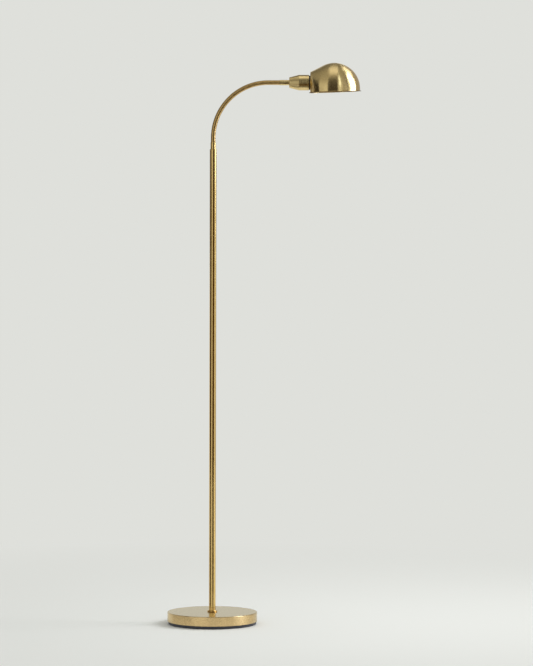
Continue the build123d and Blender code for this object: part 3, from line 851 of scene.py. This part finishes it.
def floor():
    """Round pale floor that runs out into the pale surroundings."""
    m = Shader("floor_pale", Roughness=0.9, Specular_IOR_Level=0.0)
    m.surface.inputs["Base Color"].default_value = FLOOR_COLOUR
    place = m.add("ShaderNodeNewGeometry").outputs["Position"]
    reach = m.add("ShaderNodeVectorMath", operation="LENGTH")
    m.link(place, reach.inputs[0])
    fade = m.between(reach.outputs["Value"], 0.5, 2.0, 0, 1)
    glow = m.add("ShaderNodeEmission")
    glow.inputs["Color"].default_value = (*PALE, 1)
    mix = m.add("ShaderNodeMixShader")
    m.link(fade, mix.inputs[0])
    m.link(m.surface.outputs[0], mix.inputs[1])
    m.link(glow.outputs[0], mix.inputs[2])
    m.end_in(mix.outputs[0])
    sides, rings = 96, (0.0, 1.0, 4.0, 12.0, 60.0)
    turns = [2 * math.pi * k / sides for k in range(sides)]
    vertices = [(r * math.cos(turn), r * math.sin(turn), FLOOR_Z)
                for r in rings for turn in turns]
    faces = []
    for i in range(len(rings) - 1):
        for k in range(sides):
            a, b = i * sides + k, i * sides + (k + 1) % sides
            faces.append((a, b, b + sides, a + sides))
    new_piece("floor", vertices, faces, m.material)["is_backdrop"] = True


def board(name, grey, corners, warmth=EVEN):
    """Board seen only in reflections; warmth takes blue, and half as much green, out of it."""
    m = Shader(name)
    glow = m.add("ShaderNodeEmission")
    glow.inputs["Color"].default_value = (
        grey, grey * (1 - warmth / 2), grey * (1 - warmth), 1)
    m.end_in(glow.outputs[0])
    count = len(corners) // 2
    faces = [(k, k + 1, count + k + 1, count + k) for k in range(count - 1)]
    piece = new_piece(name, corners, faces, m.material)
    for kind in ("camera", "diffuse", "shadow", "transmission"):
        setattr(piece, "visible_" + kind, False)
    piece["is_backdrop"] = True


def headings(start, end, steps=12):
    """Angles in radians between two in degrees; 0 is the camera's side, 90 is towards +X."""
    return [math.radians(start + (end - start) * k / steps) for k in range(steps + 1)]


def screen(name, start, end, reach, low, high, grey, middle=STUDIO_X, warmth=EVEN):
    """Upright curved board round x = middle, between two headings and two heights."""
    ring = [(middle + reach * math.sin(turn), -reach * math.cos(turn))
            for turn in headings(start, end)]
    board(name, grey, [(x, y, z) for z in (low, high) for x, y in ring], warmth)


def ground(name, start, end, near, grey):
    """Board lying on the floor round the pole, from near out to the edge of the studio."""
    corners = [(r * math.sin(turn), -r * math.cos(turn), ON_FLOOR)
               for r in (near, FAR) for turn in headings(start, end)]
    board(name, grey, corners, WARM)


def softbox(name, place, aim, width, height, watts,
            colour=(1, 1, 1), in_metal=True, on_floor=True):
    """Area lamp; in_metal and on_floor are whether reflections and dull surfaces get it."""
    data = bpy.data.lights.new(name, "AREA")
    data.shape, data.size, data.size_y, data.energy = "RECTANGLE", width, height, watts
    data.color = colour
    lamp = bpy.data.objects.new(name, data)
    lamp.location = place
    lamp.rotation_euler = (Vector(aim) - Vector(place)).to_track_quat("-Z", "Y").to_euler()
    lamp.visible_camera = False
    lamp.visible_glossy = in_metal
    lamp.visible_diffuse = on_floor
    scene.collection.objects.link(lamp)


floor()
# The boards draw the dark and bright bands that the brass shows in the photograph.
screen("screen_front", -22, 24, 1.0, 1.15, 2.6, 0.055, warmth=0.2)
screen("screen_low_front", -22, 24, 1.0, 0.34, 1.15, 0.065, warmth=0.95)
board("ground_front", 0.03, [
    (-0.10, -0.4, ON_FLOOR), (0.18, -0.4, ON_FLOOR),
    (-1.2, -FAR, ON_FLOOR), (3.2, -FAR, ON_FLOOR)], WARM)
screen("screen_strip", 28, 36, 1.5, 1.8, 3.2, 1.95, warmth=-0.26)
screen("screen_side", 41, 60, 2.2, 1.3, 3.6, 0.40)
screen("screen_frame", 60, 69, 2.2, 1.3, 3.8, 0.16)
screen("screen_left", -106, -70, 2.2, 1.1, 2.6, 0.02)
screen("screen_low_left", -107, -46, 1.2, 0.36, 1.25, 0.05, middle=0, warmth=0.95)
ground("ground_left", -107, -46, 0.28, 0.04)
screen("screen_low_right", 32, 55, 1.2, 0.36, 1.25, 0.11, middle=0, warmth=0.8)
ground("ground_right", 32, 55, 0.45, 0.05)
screen("screen_low_side", 73, 88, 1.6, 0.02, 0.25, 1.5, middle=0)
screen("screen_back_left", -125, -106, 2.4, 0.3, 2.6, 0.42)
screen("screen_back_corner", -155, -125, 2.4, 0.9, 2.6, 0.05)
screen("screen_back_right", 110, 165, 2.5, 0.0, 3.2, 0.38, warmth=0.15)

# The key light is two lamps in one place: what the metal mirrors, and what lights the rest.
KEY_PLACE, KEY_AIM, KEY_WIDTH, KEY_HEIGHT = (2.45, 0.12, 2.45), (0, 0.04, 2.45), 1.15, 2.4
softbox("key_right", KEY_PLACE, KEY_AIM, KEY_WIDTH, KEY_HEIGHT, 50,
        colour=(0.97, 1.06, 1.3), on_floor=False)
softbox("key_floor", KEY_PLACE, KEY_AIM, KEY_WIDTH, KEY_HEIGHT, 76, in_metal=False)
softbox("key_back", (1.35, 0.86, 2.92), (0.32, 0, 1.45), 0.5, 1.0, 2.6)
softbox("key_above", (0.26, -0.05, 2.65), (0.26, -0.05, 0), 0.6, 0.95, 1.25)

# Surroundings: pale to the camera and to dull surfaces, with a darker ceiling in reflections.
world = bpy.data.worlds.new("studio")
world.use_nodes = True
sky = Nodes(world.node_tree)
split = sky.add("ShaderNodeSeparateXYZ")
sky.link(sky.coordinates["Generated"], split.inputs[0])
rays = sky.add("ShaderNodeLightPath").outputs
high = sky.math("MULTIPLY", sky.between(split.outputs["Z"], 0.25, 0.55, 0, 1),
                rays["Is Glossy Ray"])
back = sky.between(split.outputs["Y"], 0.1, 0.6, 0, 1)
ceiling = sky.blend(back, (0.34, 0.33, 0.29), (0.18, 0.17, 0.14))
surroundings = sky.blend(high, PALE, ceiling)
lit = sky.blend(rays["Is Diffuse Ray"], surroundings, tuple(0.86 * c for c in PALE))
seen = sky.blend(rays["Is Camera Ray"], lit, PALE)
sky.link(seen, world.node_tree.nodes["Background"].inputs["Color"])
scene.world = world
scene.view_settings.view_transform = "Standard"

# ---------------------------------------------------------------- camera, as the photograph's

camera_data = bpy.data.cameras.new("camera")
camera_data.sensor_fit, camera_data.sensor_height = "VERTICAL", 36
camera_data.lens = 202.9
camera_data.clip_end = 200
camera = bpy.data.objects.new("camera", camera_data)
camera.location = (0.1416, -9.993, 1.3035)
camera.rotation_euler = (math.radians(87), math.radians(-0.16), 0)
scene.collection.objects.link(camera)
scene.camera = camera

low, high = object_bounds()
